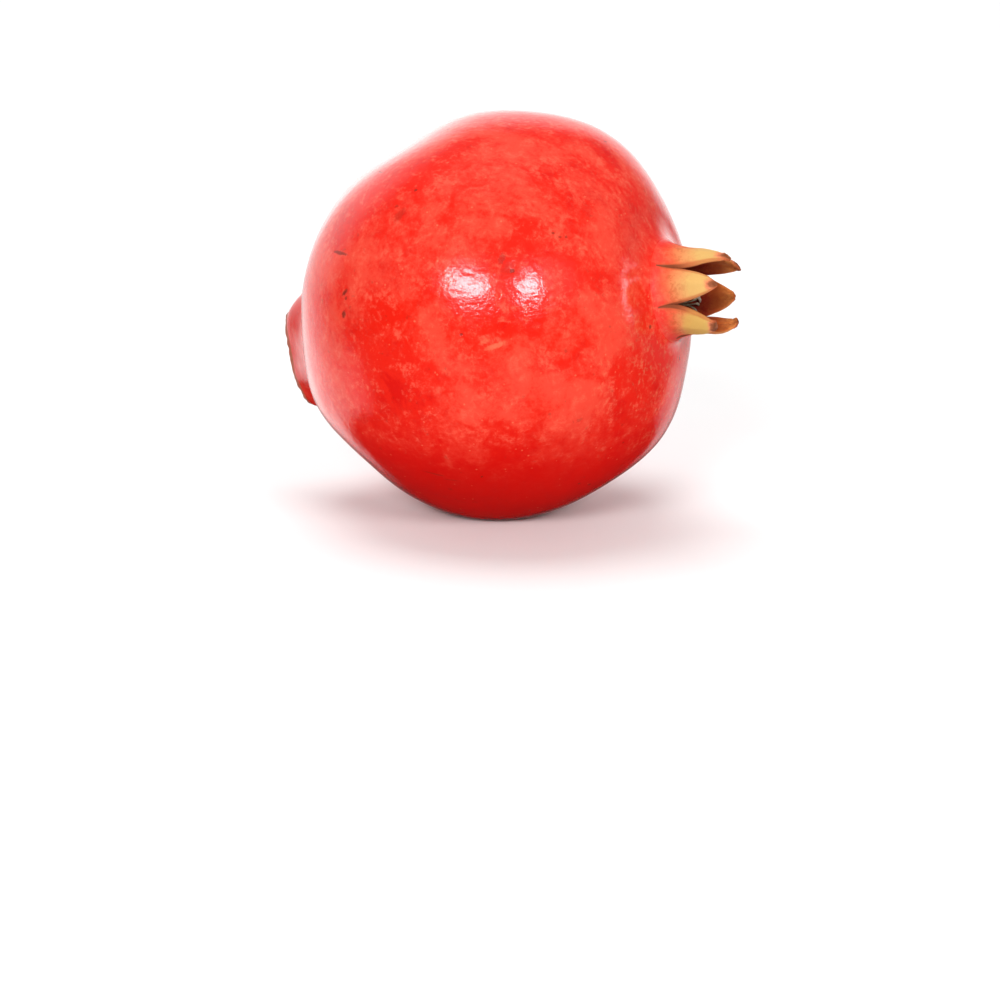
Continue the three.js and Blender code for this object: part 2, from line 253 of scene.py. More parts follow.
# %% [markdown]
# ## The stalk knob
# The fruit grew on a short stalk, and the rind draws out into a blunt knob round
# it. Its end is a rounded square, taller than it is wide, folds run down its side,
# and a shallow hollow in the end holds the stump. A turned profile would make it
# round, so each of its rows follows its own outline. The rows go round the same way
# as the body's, so the two join with no seam.

# %% The knob's outline
def knob_fold(phi):
    off = ((phi - 325) + 540) % 360 - 180
    return (0.45 * cosine(5 * (phi + 20)) + 0.25 * cosine(3 * phi) - 0.9 * hump(off, 16)) * mm


def knob_rim(phi):
    c = np.abs(cosine(phi - 5)) / KNOB_HALF_WIDTH
    s = np.abs(np.sin(np.radians(phi - 5))) / KNOB_HALF_HEIGHT
    return (c ** 3 + s ** 3) ** (-1 / 3) + 0.6 * knob_fold(phi)


def knob_point(radius, height, phi):
    return (BODY_CENTRE - height[..., None] * axis(KNOB_TILT)
            + radius[..., None] * spoke(phi, KNOB_TILT))


print("Knob rim, mm from its axis:", (knob_rim(np.arange(0, 360, 45)) / mm).round(1))


# %% The knob's end and its side
# The end, from the socket to the edge: share of the way out, height in mm.
KNOB_END = [(0, -2.9), (0, -1.7), (0, -0.62), (0.03, -0.55), (0.12, -0.66), (0.24, -0.8),
            (0.36, -0.88), (0.48, -0.9), (0.58, -0.78), (0.67, -0.62), (0.76, -0.46),
            (0.84, -0.24), (0.91, 0), (0.96, -0.2)]


def knob_end():
    share, height = np.array(KNOB_END).T[..., None]
    radius = SOCKET_R + share * (knob_rim(ANGLES) - SOCKET_R)
    points = knob_point(radius, KNOB_FACE + height * mm, ANGLES)
    cracks = waves(points, 1.5 * mm, 6.1) - 0.6 * np.abs(waves(points, 4 * mm, 1.2))
    points = points + (0.3 * mm * cracks * (share > 0))[..., None] * axis(KNOB_TILT)
    return points, share


def knob_side(rows=24):
    t = np.linspace(0, 1, rows, endpoint=False)[:, None] ** 1.15
    phi = ANGLES + 0 * t
    start = knob_point(knob_rim(phi), np.full_like(phi, KNOB_FACE - KNOB_EDGE), phi)
    leave = 6 * mm * axis(KNOB_TILT) + 4 * mm * spoke(phi, KNOB_TILT)
    foot = np.full_like(phi, KNOB_FOOT)
    points = blend(start, leave, body_point(foot, phi), 7 * mm * body_slope(foot, phi), t[..., None])
    swell = 1.6 * knob_fold(phi) + 4 * KNOB_SHOULDER * np.sin(np.radians(phi)).clip(0) ** 2
    points = points + (t * (1 - t) * swell)[..., None] * spoke(phi, KNOB_TILT)
    skin = 0.12 * mm * waves(points, 3.5 * mm, 2.2)
    return points + skin[..., None] * unit(points - BODY_CENTRE), t


print("Knob end:", len(KNOB_END), "rows")


# %% [markdown]
# ## The crown
# The crown is what is left of the flower: a short tube of rind that parts into six
# stiff, pointed lobes. Six copies of one lobe would look made, so each follows a
# curve from the tube to its own tip. It is bent round the tube at its foot, grows
# flatter and thinner toward the tip, and has a rounded margin, so a section through
# it is one closed ring of points.

# %% A lobe's outer face
def smooth(t):
    return t * t * (3 - 2 * t)


def lobe_spread(i, t):
    """How far a lobe reaches round the crown to each side, in radians."""
    foot = math.radians(NEXT_NOTCH[i] - NOTCHES[i]) / 2
    full, tip_half = LOBES[i][4:]
    tip = tip_half * mm / TIP_BEND
    return tip + (foot - tip) * (1 - t ** full) * (1 - NOTCH_GAP * (1 - (1 - t) ** 6))


def lobe_wall(s, t):
    return (TIP_WALL + (TUBE_WALL - TIP_WALL) * (1 - t) ** 1.3) * (1 - 0.3 * s * s)


def lobe_face(i, s, t):
    """Outer points, outward normals and sideways vectors, in rows of t."""
    out_mm, r_mm, angle, curl = LOBES[i][:4]
    foot_spoke = spoke((NOTCHES[i] + NEXT_NOTCH[i]) / 2, CROWN_TILT)
    tip_spoke = spoke(angle, 0)
    foot = RING + CROWN_R * foot_spoke
    tip = RING + np.array([out_mm * mm, 0, 0]) + r_mm * mm * tip_spoke
    length = np.linalg.norm(tip - foot)
    leave = length * (axis(CROWN_TILT) - CROWN_FLARE * foot_spoke)
    arrive = length * unit((tip - foot) / length - 2 * curl * tip_spoke)
    u = t[:, None]
    middle = blend(foot, leave, tip, arrive, u)
    tangent = unit(blend_slope(foot, leave, tip, arrive, u))
    outward = foot_spoke + (tip_spoke - foot_spoke) * smooth(u)
    square = smooth(np.minimum(u / 0.3, 1))
    outward = unit(outward - square * (outward * tangent).sum(-1, keepdims=True) * tangent)
    across = unit(np.cross(outward, tangent))
    bend = TIP_BEND + (CROWN_R - TIP_BEND) * (1 - u) ** (CROWN_FLARE * length / (CROWN_R - TIP_BEND))
    turn = (s * lobe_spread(i, u))[..., None]
    middle, outward, across, bend = (v[:, None, :] for v in (middle, outward, across, bend))
    points = middle + bend * np.sin(turn) * across - bend * (1 - np.cos(turn)) * outward
    normals = np.cos(turn) * outward + np.sin(turn) * across
    return points, normals, np.cos(turn) * across - np.sin(turn) * outward


print("The lobes' tips lie", [lobe[0] for lobe in LOBES], "mm past the crown's ring")


# %% What dried the lobes: a midrib, shrunken skin, a scaly ring and a withered tip
SCALE_AT = [0.86, 0.90, 0.88, 0.92, 0.90, 0.90]
LOBE_T = np.concatenate([np.linspace(0, 0.9, 34), 0.9 + 0.1 * np.sin(np.linspace(0.22, 1, 8) * math.pi / 2)])
LOBE_S = np.linspace(-1, 1, PER_LOBE + 1)
MARGIN = np.array([0.25, 0.5, 0.75])


def lobe_relief(i, s, t, points):
    """Lift of the outer face, in millimetres."""
    grow = smooth(np.minimum(1, t / 0.25))
    midrib = 0.30 * hump(s, 0.25) * (1 - 0.7 * t)
    rolled = -0.5 * np.abs(s) ** 4 * t * (1.2 - t)
    wavy = 0.22 * s * s * t * np.sin(9 * t + 2.1 * i + np.sign(s))
    ring = 0.26 * hump(t - SCALE_AT[i] - 0.03 * np.sin(5 * s + i), 0.022)
    withered = np.clip((t - SCALE_AT[i]) / 0.1, 0, 1)
    skin = (0.05 + 0.15 * withered) * waves(points, 1.3 * mm, 2.5 + i) + 0.10 * waves(points, 3.4 * mm, 7.7)
    return grow * (midrib + rolled + wavy + ring + skin - 0.12 * withered)


# %% A lobe's closed rings
def lobe_rings(i):
    """Outer face, right margin, inner face and left margin, going once round."""
    points, normals, across = lobe_face(i, LOBE_S, LOBE_T)
    t, s = LOBE_T[:, None], LOBE_S[None, :]
    tip = np.sqrt(np.clip(1 - ((t - 0.93) / 0.072).clip(0) ** 2, 0.02, 1))
    wall = lobe_wall(s, t) * tip
    points = points + (lobe_relief(i, s, t, points) * mm)[..., None] * normals
    points = points - ((1 - tip) * 0.45 * TIP_WALL)[..., None] * normals
    inner = points - wall[..., None] * normals
    creased = 0.10 * mm * waves(inner, 2.2 * mm, 9.3) * np.minimum(1, t / 0.12)
    inner = inner + creased[..., None] * normals
    bulge = 0.42 * wall * np.minimum(1, t / 0.1)
    rims = []
    for column, side in ((PER_LOBE, 1), (0, -1)):
        k = MARGIN[None, :, None]
        rim = points[:, column, None] * (1 - k) + inner[:, column, None] * k
        swell = bulge[:, column, None, None] * np.sin(math.pi * k) * side
        rims.append(rim + swell * across[:, column, None])
    return points, rims[0], inner[:, ::-1], rims[1][:, ::-1]


# %% The wall of the cup
def cup_rows(rows=18):
    k = np.linspace(0, 1, rows + 1)[1:, None]
    s = np.abs((np.arange(COLUMNS) % PER_LOBE) * 2 / PER_LOBE - 1)
    top = CROWN_R - lobe_wall(s, 0)
    r = top + (CUP_FLOOR_R - top) * k ** CUP_ROUNDING
    outward = spoke(ANGLES, CROWN_TILT)
    points = RING - CUP_DEPTH * k[..., None] * axis(CROWN_TILT) + r[..., None] * outward
    furrows = 0.16 * cosine(24 * ANGLES) + 0.22 * waves(points, 1.6 * mm, 4.4)
    return points + (furrows * np.sin(math.pi * k) * mm)[..., None] * outward, k


print("The cup is", round(CUP_DEPTH / mm, 1), "mm deep")


# %% [markdown]
# ## Weaving a mesh
# Knob, body and crown grew as one skin, and separate objects would show a seam
# where they meet. All of them are rows of points that go once round, so a small
# collector can join row to row. It also stores a few facts that the finish needs at
# each point, such as how far up the crown it is. They become the mesh's attributes.

# %% Values of a mesh's points, corners and faces
def read(data, field, kind=np.int32, width=1):
    values = np.empty((len(data), width), dtype=kind)
    data.foreach_get(field, values.ravel())
    return values.squeeze()


def store(mesh, name, values, domain="POINT"):
    """Keeps a number or a vector for each point, or for each corner of a face."""
    kind, field = ("FLOAT", "value") if values.ndim == 1 else ("FLOAT_VECTOR", "vector")
    layer = mesh.attributes.new(name, kind, domain)
    layer.data.foreach_set(field, values.astype(np.float32).reshape(-1))
    print(mesh.name, "keeps", name, "for", len(values), domain.lower() + "s")


# %% A collector of points, facts and faces
class Weave:
    def __init__(self, **usual):
        self.usual = usual
        self.points, self.facts, self.faces, self.count = [], [], [], 0

    def rows(self, grid, **facts):
        """Stores a grid of points and gives back their numbers."""
        shape = grid.shape[:2]
        values = [facts.get(name, usual) for name, usual in self.usual.items()]
        self.points.append(grid.reshape(-1, 3))
        self.facts.append(np.stack([np.broadcast_to(v, shape).reshape(-1) for v in values], axis=-1))
        first = self.count
        self.count += shape[0] * shape[1]
        return np.arange(first, self.count).reshape(shape)

    def join(self, *rows):
        """Faces between neighbouring rows, all the way round."""
        ids = np.concatenate([np.atleast_2d(r) for r in rows])
        ids = np.concatenate([ids, ids[:, :1]], axis=1)
        quads = np.stack([ids[:-1, :-1], ids[1:, :-1], ids[1:, 1:], ids[:-1, 1:]], axis=-1)
        self.faces.extend(quads.reshape(-1, 4).tolist())

    def cap(self, ring, middle, last):
        """Closes the last ring, or the first one, with a fan round a point."""
        pole = int(self.rows(middle.reshape(1, 1, 3), **last)[0, 0])
        self.faces.extend([a, pole, b] for a, b in zip(ring.tolist(), np.roll(ring, -1).tolist()))

    def turn_out(self):
        """Turns every face over, where the rows ran the other way round."""
        self.faces = [face[::-1] for face in self.faces]

    def mesh(self, name):
        mesh = bpy.data.meshes.new(name)
        mesh.from_pydata(np.concatenate(self.points).tolist(), [], self.faces)
        facts = np.concatenate(self.facts)
        for k, fact in enumerate(self.usual):
            store(mesh, fact, facts[:, k])
        mesh.shade_smooth()
        return mesh


def stand(name, data):
    """Puts a mesh, a lamp or a camera in the scene."""
    thing = bpy.data.objects.new(name, data)
    bpy.context.scene.collection.objects.link(thing)
    return thing


def place(mesh, name, node):
    """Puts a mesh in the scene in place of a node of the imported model."""
    piece = stand(name, mesh)
    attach(piece, "root")
    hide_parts(node)
    print(name, len(mesh.vertices), "points,", len(mesh.polygons), "faces")
    return piece


# %% The fruit from its stalk to the notches of its crown
def weave_body(weave):
    end, share = knob_end()
    side, t = knob_side()
    a = np.linspace(KNOB_FOOT, 180 - NECK_START, BODY_ROWS)[:, None]
    body = body_point(a, ANGLES + 0 * a)
    body = pressed(body + rind_relief(body)[..., None] * unit(body - BODY_CENTRE))
    k = np.linspace(0, 1, 27)[1:-1, None]
    foot = np.full((1, COLUMNS), 180.0 - NECK_START)
    outward = spoke(ANGLES, CROWN_TILT)
    arrive = NECK_ARRIVE * (axis(CROWN_TILT) - CROWN_FLARE * outward)
    neck = blend(body_point(foot, ANGLES[None]), NECK_LEAVE * body_slope(foot, ANGLES[None]),
                 RING + CROWN_R * outward, arrive, k[..., None])
    neck = neck + (rind_relief(neck) * (1 - k) ** 0.7)[..., None] * unit(neck - BODY_CENTRE)
    rows = [weave.rows(end, knob=2 - share), weave.rows(side, knob=1 - t),
            weave.rows(body), weave.rows(neck, crown=k - 1)]
    socket_floor = end[0].mean(axis=0)
    weave.cap(rows[0][0][::-1], socket_floor, {"knob": 2.0})
    return rows


# %% One lobe of the crown
def weave_lobe(weave, i, lobe, notch_out, notch_in, notches):
    columns = (i * PER_LOBE + np.arange(PER_LOBE + 1)) % COLUMNS
    right, left = notches[(i + 1) % len(LOBES)], notches[i]
    first = np.concatenate([notch_out[columns], right, notch_in[columns][::-1], left[::-1]])
    t, s = LOBE_T[1:, None], np.abs(LOBE_S)
    parts = zip(lobe, (s, 1.0, s, 1.0), (0.0, MARGIN, 1.0, MARGIN[::-1]))
    rest = np.concatenate([weave.rows(part[1:], crown=t, margin=margin, inside=inside, lobe=i)
                           for part, margin, inside in parts], axis=1)
    weave.join(first, rest)
    tip = np.concatenate([part[-1] for part in lobe]).mean(axis=0)
    weave.cap(rest[-1], tip, {"crown": 1.0, "margin": 1.0, "inside": 0.5, "lobe": i})


# %% The whole fruit as one surface
def fruit_mesh():
    weave = Weave(crown=-1.0, inside=0.0, margin=0.0, knob=0.0, lobe=0.0)
    rows = weave_body(weave)
    lobes = [lobe_rings(i) for i in range(len(LOBES))]
    outer = np.concatenate([lobe[0][0, :-1] for lobe in lobes])[None]
    inner = np.concatenate([lobe[2][0, :0:-1] for lobe in lobes])[None]
    edge = np.tile(np.abs(LOBE_S[:-1]), len(LOBES))
    number = np.repeat(np.arange(len(LOBES)), PER_LOBE)
    notch_out = weave.rows(outer, crown=0.0, margin=edge, lobe=number)[0]
    notch_in = weave.rows(inner, crown=0.0, margin=edge, inside=1.0, lobe=number)[0]
    weave.join(*rows, notch_out)
    notches = [weave.rows(lobe[3][:1, ::-1], crown=0.0, margin=1.0, inside=0.5)[0] for lobe in lobes]
    for i, lobe in enumerate(lobes):
        weave_lobe(weave, i, lobe, notch_out, notch_in, notches)
    cup, k = cup_rows()
    cup_ids = weave.rows(cup, crown=-k, inside=1.0)
    weave.join(notch_in, cup_ids)
    weave.cap(cup_ids[-1], RING - CUP_DEPTH * axis(CROWN_TILT), {"crown": -1.0, "inside": 1.0})
    return weave.mesh("fruit_rind")


fruit = place(fruit_mesh(), "fruit_rind", "fruit")

# %% [markdown]
# ## Meridians and marks
# Streaks in the rind run from the stalk to the crown, so each point also stores its
# meridian as a vector: where it lies round the fruit, and how far from the stalk.
# Ticks, scabs and scratches are too fine for the mesh, and a painted picture would
# suit one distance only. Instead each corner of a face stores where it lies in the
# nearest mark's own small frame, in units of that mark's length and width, and the
# finish draws the mark there at any sharpness.

# %% Meridians of the rind
def store_meridians(mesh):
    globe = read(mesh.vertices, "co", np.float32, 3) - BODY_CENTRE
    front, top = globe @ FRONT, globe @ spoke(90, BODY_TILT)
    ring = np.hypot(front, top) + 1e-9
    height = globe @ axis(BODY_TILT) / np.linalg.norm(globe, axis=-1)
    from_stalk = np.degrees(np.arccos(-height)) / 180
    store(mesh, "meridian", np.stack([front / ring, top / ring, from_stalk], axis=-1))


store_meridians(fruit.data)

# %% Where the marks are
# Degrees from the stalk, degrees round, way it runs (0 toward the crown, 90 round
# the fruit), length and width in mm, and darkness from -1 (pale) to 1.
MARKS = [
    (118.6, 21.6, 40, 2.6, 1.5, 0.34), (119.4, 20.6, 10, 1.0, 0.6, 0.8), (116.9, 24.4, 70, 1.8, 0.9, 0.45),
    (67.8, 22.0, 28, 1.25, 0.55, 1.0), (68.0, 20.2, 60, 0.5, 0.45, 0.8), (66.2, 15.6, 60, 1.0, 0.7, 1.0),
    (66.3, 34.9, 153, 3.5, 0.5, 0.8), (87.6, 40.5, 60, 2.2, 1.3, 0.4), (86.4, 43.5, 100, 1.0, 0.6, 0.5),
    (55.8, 50.8, 0, 0.6, 0.5, 0.9), (92.0, 79.8, 30, 0.7, 0.5, 0.8), (91.5, 48.3, 0, 0.5, 0.4, 0.8),
    (131.1, 34.4, 0, 0.5, 0.4, 0.7), (133.1, 33.3, 0, 0.5, 0.4, 0.6), (134.9, 33.7, 0, 0.4, 0.4, 0.6),
    (157.3, 260.1, 0, 0.7, 0.5, 0.8), (161.1, 332.8, 0, 0.6, 0.6, 0.8), (75.1, 63.0, 140, 2.0, 0.35, 0.6),
    (112.0, 358.6, 8, 3.2, 0.7, -0.5), (109.6, 0.6, 12, 1.6, 0.5, -0.4),
    (80.6, 321.3, 155, 3.6, 0.3, 0.5), (84.0, 318.0, 160, 2.8, 0.25, 0.4), (103.5, 3.8, 0, 0.5, 0.4, 0.7),
]


def scattered_marks(seed=11, dots=70, scratches=16):
    """Small dots and thin scratches over the rest of the fruit."""
    rng = np.random.default_rng(seed)
    marks = []
    for k in range(dots + scratches):
        a = math.degrees(math.acos(rng.uniform(-0.85, 0.9)))
        phi = rng.uniform(95, 325 if k < dots else 285)
        way = rng.uniform(0, 180)
        length, shade = ((0.25, 0.7), (0.3, 1)) if k < dots else ((1.2, 4), (-0.7, 0.9))
        marks.append((a, phi, way, rng.uniform(*length), rng.uniform(0.2, 0.5), rng.uniform(*shade)))
    return marks


print(len(MARKS), "drawn marks and", len(scattered_marks()), "scattered ones")

# %% Each face stores its place in the nearest mark
FAR_OFF = 50


def store_marks(mesh, marks):
    a, phi, way, long_mm, wide_mm, shade = np.array(marks).T
    spots = body_point(a, phi)
    to_crown = body_slope(a, phi)
    way = np.radians(way)[:, None]
    rounds = np.cross(unit(spots - BODY_CENTRE), to_crown)
    along = np.cos(way) * to_crown + np.sin(way) * rounds
    beside = np.cos(way) * rounds - np.sin(way) * to_crown
    points = read(mesh.vertices, "co", np.float32, 3)
    corners = read(mesh.loops, "vertex_index")
    sizes = read(mesh.polygons, "loop_total")
    first = np.concatenate([[0], np.cumsum(sizes)[:-1]])
    middle = points[corners[first]]
    nearest = np.full(len(sizes), 0)
    best = np.full(len(sizes), np.inf)
    for k, spot in enumerate(spots):
        apart = np.linalg.norm(middle - spot, axis=-1) / (long_mm[k] + 1)
        nearest = np.where(apart < best, k, nearest)
        best = np.minimum(apart, best)
    mark = np.repeat(nearest, sizes)
    off = points[corners] - spots[mark]
    values = np.stack([(off * along[mark]).sum(-1) / (long_mm[mark] * mm),
                       (off * beside[mark]).sum(-1) / (wide_mm[mark] * mm), shade[mark]], axis=-1)
    store(mesh, "mark", np.clip(values, -FAR_OFF, FAR_OFF), "CORNER")


store_marks(fruit.data, MARKS + scattered_marks())

# %% [markdown]
# ## Dried stamens
# A tuft of dry filaments stands on the cup's floor, each with a shrivelled anther at
# its end, round one stouter style. Hair particles could make a tuft, but not its
# anthers. So each filament is a thin tube along a bent, slightly kinked line, and a
# loop makes them all, spread by the golden angle as petals are.

# %% Tubes for filaments, the style and the stump
def crown_point(height, radius, angle):
    return (RING + height[..., None] * axis(CROWN_TILT)
            + radius[..., None] * spoke(angle, CROWN_TILT))


def add_tube(weave, line, radii, sides, lumps=0.0, **facts):
    """A closed tube along a line of points; facts may change along it."""
    steps = len(line)
    way = unit(np.gradient(line, axis=0))
    side = unit(np.cross(way, [0.31, 0.17, 0.93]))
    other = np.cross(way, side)
    turn = np.arange(sides) * (2 * math.pi / sides)
    ring = np.cos(turn)[:, None] * side[:, None] + np.sin(turn)[:, None] * other[:, None]
    lump = 1 + lumps * np.sin(3 * turn + 5.0 * np.arange(steps)[:, None])
    grid = line[:, None] + ring * (radii[:, None] * lump)[..., None]
    facts = {name: np.reshape(value, (-1, 1)) for name, value in facts.items()}
    ids = weave.rows(grid, **facts)
    weave.join(*ids)
    for end, ring in ((0, ids[0][::-1]), (-1, ids[-1])):
        weave.cap(ring, line[end], {name: float(value[end, 0]) for name, value in facts.items()})


# %% The tuft
FILAMENTS = 96
FILAMENT_R = 0.17 * mm
LONG_SIDE = 212
GOLDEN_ANGLE = 137.5
STAMEN_FLOOR = -CUP_DEPTH + GAP
DISC_R = 4.7 * mm


def filament(n):
    """Points and radii of one filament with its anther; the long ones lean back."""
    share = (n + 0.5) / FILAMENTS
    angle = n * GOLDEN_ANGLE
    foot = (1.3 + 3.0 * math.sqrt(share)) * mm
    toward_back = math.cos(math.radians(angle - LONG_SIDE))
    long = share > 0.5 and toward_back > 0.86
    length = ((13.4 if long else 7.2) + 1.2 * math.sin(n * 2.4)) * mm
    lean = ((2.6 if long else 0.5) + 0.5 * math.sin(n * 1.7)) * mm
    t = np.linspace(0, 1, 17)
    wobble = 0.22 * mm * np.sin(7 * t + n) * t
    over = (2.4 if long else 1.2) * mm * ((t - 0.7).clip(0) / 0.3) ** 2
    height = STAMEN_FLOOR + 0.4 * mm + length * t - over
    out = foot + lean * np.sin(2.3 * t) + wobble + over
    line = crown_point(height, out, angle + 26 * t * t * math.sin(n * 3.1) + 4 * np.sin(9 * t + 2 * n) * t)
    anther = hump(t - 0.91, 0.075)
    return line, FILAMENT_R * (1.1 - 0.4 * t + (1.5 + 0.4 * math.sin(n)) * anther)


def stamens_mesh():
    weave = Weave(reach=0.0, tint=0.0)
    disc_h = np.array([0, 0, 0.5, 0.95, 1.2, 1.25]) * mm
    disc_r = np.array([0.3, 1, 1, 0.97, 0.85, 0.4]) * DISC_R
    # The micrometre steps keep the line's direction clear where two heights are the same.
    add_tube(weave, crown_point(STAMEN_FLOOR + disc_h + 1e-6 * np.arange(6), 0 * disc_h, 0 * disc_h),
             disc_r, 64, reach=0.0 * disc_h, tint=0.2)
    h = np.linspace(0.3, 7.9, 22)
    style_r = np.interp(h, [0.3, 3, 5.6, 7.1, 7.9], [1.1, 0.6, 0.45, 0.75, 0.5]) * mm
    add_tube(weave, crown_point(STAMEN_FLOOR + h * mm, 0.12 * h * mm, 200 + 0 * h),
             style_r, 14, lumps=0.06, reach=h / 7.9 * 0.6, tint=0.5)
    for n in range(FILAMENTS):
        line, radii = filament(n)
        add_tube(weave, line, radii, 7, lumps=0.12, reach=np.linspace(0, 1, len(line)),
                 tint=0.5 + 0.5 * math.sin(n * 12.9))
    weave.turn_out()
    return weave.mesh("stamen_tuft")


stamens = place(stamens_mesh(), "stamen_tuft", "stamens")

# %% [markdown]
# ## The stump of the stalk
# A few millimetres of woody stalk are left in the knob's socket. It has thin,
# ridged bark on its side and a cut end, where the pith and the wood's rings show. A
# plain cylinder would look machined, so its side is ridged and its end is uneven.

# %% Stump
STUMP_R = SOCKET_R - GAP
STUMP_FOOT = KNOB_FACE - KNOB_HOLLOW - SOCKET_DEPTH + GAP


def stump_mesh(sides=120):
    weave = Weave(cut=0.0, ring=1.0)
    phi = np.arange(sides) * (360 / sides)
    side_h = np.array([0, 0.4, 0.8, 1.2, 1.5, 1.8, 2.1, 2.4, 2.7, 2.85]) * mm
    side_r = np.array([1, 1, 1, 1, 0.985, 0.975, 0.965, 0.95, 0.935, 0.9]) * STUMP_R
    bark = 1 + 0.012 * cosine(17 * phi) + 0.012 * cosine(7 * phi + 40)
    side = knob_point(side_r[:, None] * np.minimum(bark, 1.0), side_h[:, None] + STUMP_FOOT, phi)
    share = np.linspace(0.88, 0.06, 16)[:, None]
    end = knob_point(share * STUMP_R * (0.9 + 0.1 * bark), np.full_like(share, STUMP_FOOT), phi)
    lift = 2.95 + 0.10 * waves(end, 0.9 * mm, 3.3) + 0.10 * waves(end, 2.4 * mm, 5.1)
    lift = lift - 0.3 * hump(share, 0.2)
    end = end - (lift * mm)[..., None] * axis(KNOB_TILT)
    ids = [weave.rows(side), weave.rows(end, cut=1.0, ring=share)]
    weave.join(*ids)
    weave.cap(ids[0][0][::-1], side[0].mean(axis=0), {})
    weave.cap(ids[1][-1], end[-1].mean(axis=0), {"cut": 1.0, "ring": 0.0})
    weave.turn_out()
    return weave.mesh("stalk_stump")


stump = place(stump_mesh(), "stalk_stump", "stem_stub")

# %% [markdown]
# ## A shorthand for shaders
# A finish is a sum of simple patterns. The class below wraps one socket of a
# material, so that a pattern can be written as plain arithmetic, such as 1 - mask,
# and each operator adds its Math node. Colours are mixed by a Mix node, because a
# Math node would turn them grey. One method adds any other node.

# %% Wire: one socket in a material
class Wire:
    def __init__(self, tree, socket=None):
        self.tree, self.socket = tree, socket

    def add(self, kind, settings=None, inputs=None, out=0):
        """Adds a node: its settings first, then values or wires by socket."""
        node = self.tree.nodes.new("ShaderNode" + kind)
        for name, value in (settings or {}).items():
            if name == "stops":
                set_stops(node.color_ramp, value)
            else:
                setattr(node, name, value)
        for name, value in (inputs or {}).items():
            if isinstance(value, Wire):
                self.tree.links.new(value.socket, node.inputs[name])
            else:
                node.inputs[name].default_value = value
        return Wire(self.tree, node.outputs[out])

    def math(self, operation, *values):
        return self.add("Math", {"operation": operation}, dict(enumerate(values)))

    def __add__(self, other):
        return self.math("ADD", self, other)

    def __sub__(self, other):
        return self.math("SUBTRACT", self, other)

    def __rsub__(self, other):
        return self.math("SUBTRACT", other, self)

    def __mul__(self, other):
        return self.math("MULTIPLY", self, other)

    def __truediv__(self, other):
        return self.math("DIVIDE", self, other)

    def __rtruediv__(self, other):
        return self.math("DIVIDE", other, self)

    def __pow__(self, other):
        return self.math("POWER", self, other)

    def __neg__(self):
        return self.math("MULTIPLY", self, -1)

    __radd__, __rmul__ = __add__, __mul__

    def step(self, low, high):
        """0 below low and 1 above high, smooth in between."""
        edges = {"Value": self, "From Min": low, "From Max": high, "To Min": 0.0, "To Max": 1.0}
        if low > high:
            edges.update({"From Min": high, "From Max": low, "To Min": 1.0, "To Max": 0.0})
        return self.add("MapRange", {"interpolation_type": "SMOOTHSTEP"}, edges)

    def ramp(self, *stops):
        return self.add("ValToRGB", {"stops": stops}, {"Fac": self})

    def mix(self, other, share):
        """This colour with some of another one in it."""
        return mixed(self, self, other, share)


def mixed(wire, under, over, share):
    sockets = {0: share, 6: as_rgba(under), 7: as_rgba(over)}
    return wire.add("Mix", {"data_type": "RGBA"}, sockets, out=2)


def as_rgba(colour):
    return colour if isinstance(colour, Wire) else (*colour, 1.0)


def set_stops(ramp, stops):
    while len(ramp.elements) < len(stops):
        ramp.elements.new(1.0)
    for element, (position, colour) in zip(ramp.elements, stops):
        element.position = position
        element.color = as_rgba(colour)


# %% Patterns that every finish uses
class Finish(Wire):
    """A new material, its patterns, and its surface shader."""

    def __init__(self, name):
        self.material = bpy.data.materials.new(name)
        self.material.use_nodes = True
        super().__init__(self.material.node_tree)
        self.tree.nodes.clear()
        self.place = self.add("TexCoord", out=3)

    def fact(self, name, out=2):
        return self.add("Attribute", {"attribute_name": name}, out=out)

    def vector(self, name):
        return self.fact(name, out=1)

    def part(self, vector, axis):
        """One of the three numbers of a vector."""
        return self.add("SeparateXYZ", {}, {0: vector}, out=axis)

    def noise(self, size_mm, detail=2.0, rough=0.5, warp=0.0):
        """Cloudy noise about 0.5, in patches about as wide as size_mm."""
        return self.add("TexNoise", {}, {"Vector": self.place, "Scale": 1 / (size_mm * mm),
                                         "Detail": detail, "Roughness": rough, "Distortion": warp})

    def streaks(self, across, along, detail=2.0, warp=0.0):
        """Noise drawn out along the meridians; counts per fruit, not sizes."""
        stretched = self.add("VectorMath", {"operation": "MULTIPLY"},
                             {0: self.vector("meridian"), 1: (across, across, along)})
        return self.add("TexNoise", {}, {"Vector": stretched, "Scale": 1.0, "Detail": detail,
                                         "Roughness": 0.55, "Distortion": warp})

    def cells(self, size_mm):
        """Distance to the nearest of many scattered points, about size_mm apart."""
        return self.add("TexVoronoi", {}, {"Vector": self.place, "Scale": 1 / (size_mm * mm),
                                           "Randomness": 1.0}, out="Distance")

    def surface(self, colour, rough, relief_mm, **fixed):
        """Ends the tree. Values that are the same all over go on the sockets."""
        bump = self.add("Bump", {}, {"Strength": 1.0, "Distance": mm, "Height": relief_mm}, out="Normal")
        sockets = {"Base Color": colour, "Roughness": rough, "Normal": bump}
        sockets.update({name.replace("_", " "): value for name, value in fixed.items()})
        shader = self.add("BsdfPrincipled", {}, sockets)
        output = self.tree.nodes.new("ShaderNodeOutputMaterial")
        self.tree.links.new(shader.socket, output.inputs["Surface"])
        return self.material


